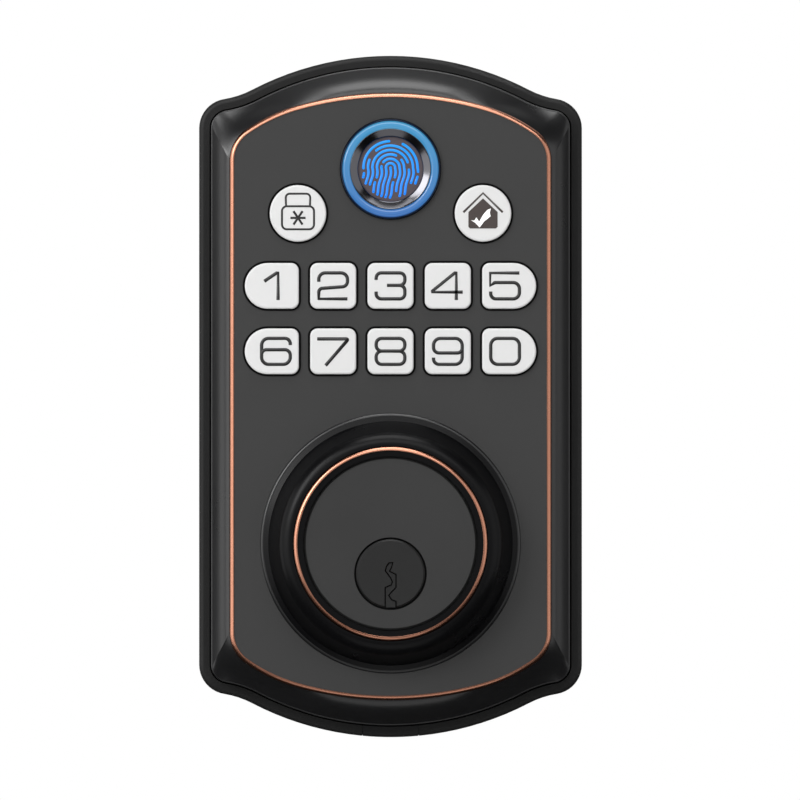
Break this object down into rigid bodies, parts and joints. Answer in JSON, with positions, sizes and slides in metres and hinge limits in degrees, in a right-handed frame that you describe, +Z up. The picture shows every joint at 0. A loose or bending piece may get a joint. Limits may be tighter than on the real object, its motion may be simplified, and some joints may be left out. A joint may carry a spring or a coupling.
{
  "type": "keypad smart lock",
  "caption": "Outside unit of a keypad deadbolt: backlit push keys, fingerprint reader and a keyed cylinder with a tailpiece, in a crowned metal housing.",
  "frame": {"origin": "axis of the key cylinder and cross bore, at the face of the door", "axes": "+X right as seen from outside, +Y into the door along the cross bore, +Z up"},
  "size_m": [0.071, 0.0857, 0.1264],
  "materials": {
    "housing_finish": "satin dark bronze-black",
    "cover_finish": "satin dark bronze-black",
    "panel_finish": "matte dark grey",
    "copper_trim": "polished copper tone",
    "gasket_foam": "closed-cell foam",
    "membrane_rubber": "moulded silicone",
    "cover_rubber": "matte moulded rubber",
    "board_laminate": "solder mask",
    "chip_plastic": "moulded epoxy",
    "connector_plastic": "moulded nylon",
    "reader_plastic": "polished black",
    "light_ring": "frosted, lit blue",
    "sensor_glass": "dark sensor window with a lit fingerprint",
    "cylinder_finish": "satin dark grey",
    "plug_finish": "satin near-black",
    "plated_steel": "zinc plated",
    "spring_steel": "bright wire",
    "brass": "machined",
    "key_plastic": "white, translucent, lit from behind"
  },
  "bodies": {
    "lock_case": {"rear_housing": "housing_finish", "front_cover": "cover_finish", "face_panel": "panel_finish", "face_trim": "copper_trim", "mounting_gasket": "gasket_foam", "key_membrane": "membrane_rubber", "circuit_board": "board_laminate", "processor_chip": "chip_plastic", "radio_module": "plated_steel", "buzzer": "chip_plastic", "cable_header": "connector_plastic", "cover_screw_1": "plated_steel", "cover_screw_2": "plated_steel", "cover_screw_3": "plated_steel", "cover_screw_4": "plated_steel", "board_screw_1": "plated_steel", "board_screw_2": "plated_steel", "board_screw_3": "plated_steel", "board_screw_4": "plated_steel", "fingerprint_housing": "reader_plastic", "fingerprint_light_ring": "light_ring", "fingerprint_inner_ring": "reader_plastic", "fingerprint_sensor": "sensor_glass", "fingerprint_seal": "membrane_rubber", "cylinder_collar": "cover_finish", "collar_trim": "copper_trim", "collar_nut": "plated_steel", "cylinder_body": "cylinder_finish", "chamber_cap": "brass", "driver_pins": "brass", "pin_springs": "spring_steel", "clamp_plate_1": "plated_steel", "clamp_plate_2": "plated_steel", "mounting_post_1": "plated_steel", "mounting_post_2": "plated_steel", "cable_grommet": "membrane_rubber", "usb_board": "board_laminate", "usb_socket": "plated_steel"},
    "key_1": {"key_1": "key_plastic"},
    "key_2": {"key_2": "key_plastic"},
    "key_3": {"key_3": "key_plastic"},
    "key_4": {"key_4": "key_plastic"},
    "key_5": {"key_5": "key_plastic"},
    "key_6": {"key_6": "key_plastic"},
    "key_7": {"key_7": "key_plastic"},
    "key_8": {"key_8": "key_plastic"},
    "key_9": {"key_9": "key_plastic"},
    "key_0": {"key_0": "key_plastic"},
    "key_lock": {"key_lock": "key_plastic"},
    "key_home": {"key_home": "key_plastic"},
    "plug": {"plug": "plug_finish", "key_pins": "brass", "tail_cap": "plated_steel"},
    "tailpiece": {"tailpiece": "plated_steel"},
    "usb_cover": {"usb_cover": "cover_rubber"}
  },
  "joints": [
    {"name": "key_1_press", "type": "slide", "parent": "lock_case", "child": "key_1", "axis": [0, 1, 0], "range_m": [0, 0.0008], "stiffness_N_per_m": 2500, "deforming": ["key_membrane"]},
    {"name": "key_2_press", "type": "slide", "parent": "lock_case", "child": "key_2", "axis": [0, 1, 0], "range_m": [0, 0.0008], "stiffness_N_per_m": 2500, "deforming": ["key_membrane"]},
    {"name": "key_3_press", "type": "slide", "parent": "lock_case", "child": "key_3", "axis": [0, 1, 0], "range_m": [0, 0.0008], "stiffness_N_per_m": 2500, "deforming": ["key_membrane"]},
    {"name": "key_4_press", "type": "slide", "parent": "lock_case", "child": "key_4", "axis": [0, 1, 0], "range_m": [0, 0.0008], "stiffness_N_per_m": 2500, "deforming": ["key_membrane"]},
    {"name": "key_5_press", "type": "slide", "parent": "lock_case", "child": "key_5", "axis": [0, 1, 0], "range_m": [0, 0.0008], "stiffness_N_per_m": 2500, "deforming": ["key_membrane"]},
    {"name": "key_6_press", "type": "slide", "parent": "lock_case", "child": "key_6", "axis": [0, 1, 0], "range_m": [0, 0.0008], "stiffness_N_per_m": 2500, "deforming": ["key_membrane"]},
    {"name": "key_7_press", "type": "slide", "parent": "lock_case", "child": "key_7", "axis": [0, 1, 0], "range_m": [0, 0.0008], "stiffness_N_per_m": 2500, "deforming": ["key_membrane"]},
    {"name": "key_8_press", "type": "slide", "parent": "lock_case", "child": "key_8", "axis": [0, 1, 0], "range_m": [0, 0.0008], "stiffness_N_per_m": 2500, "deforming": ["key_membrane"]},
    {"name": "key_9_press", "type": "slide", "parent": "lock_case", "child": "key_9", "axis": [0, 1, 0], "range_m": [0, 0.0008], "stiffness_N_per_m": 2500, "deforming": ["key_membrane"]},
    {"name": "key_0_press", "type": "slide", "parent": "lock_case", "child": "key_0", "axis": [0, 1, 0], "range_m": [0, 0.0008], "stiffness_N_per_m": 2500, "deforming": ["key_membrane"]},
    {"name": "key_lock_press", "type": "slide", "parent": "lock_case", "child": "key_lock", "axis": [0, 1, 0], "range_m": [0, 0.0008], "stiffness_N_per_m": 2500, "deforming": ["key_membrane"]},
    {"name": "key_home_press", "type": "slide", "parent": "lock_case", "child": "key_home", "axis": [0, 1, 0], "range_m": [0, 0.0008], "stiffness_N_per_m": 2500, "deforming": ["key_membrane"]},
    {"name": "plug_turn", "type": "hinge", "parent": "lock_case", "child": "plug", "pos_m": [0, -0.02, -0.00554], "axis": [0, 1, 0], "range_deg": [-90, 90]},
    {"name": "tailpiece_lost_motion", "type": "hinge", "parent": "plug", "child": "tailpiece", "pos_m": [0, 0.01, -0.00554], "axis": [0, -1, 0], "range_deg": [0, 90]},
    {"name": "usb_cover_swing", "type": "hinge", "parent": "lock_case", "child": "usb_cover", "pos_m": [0, -0.00332, -0.03605], "axis": [1, 0, 0], "range_deg": [0, 90]}
  ]
}
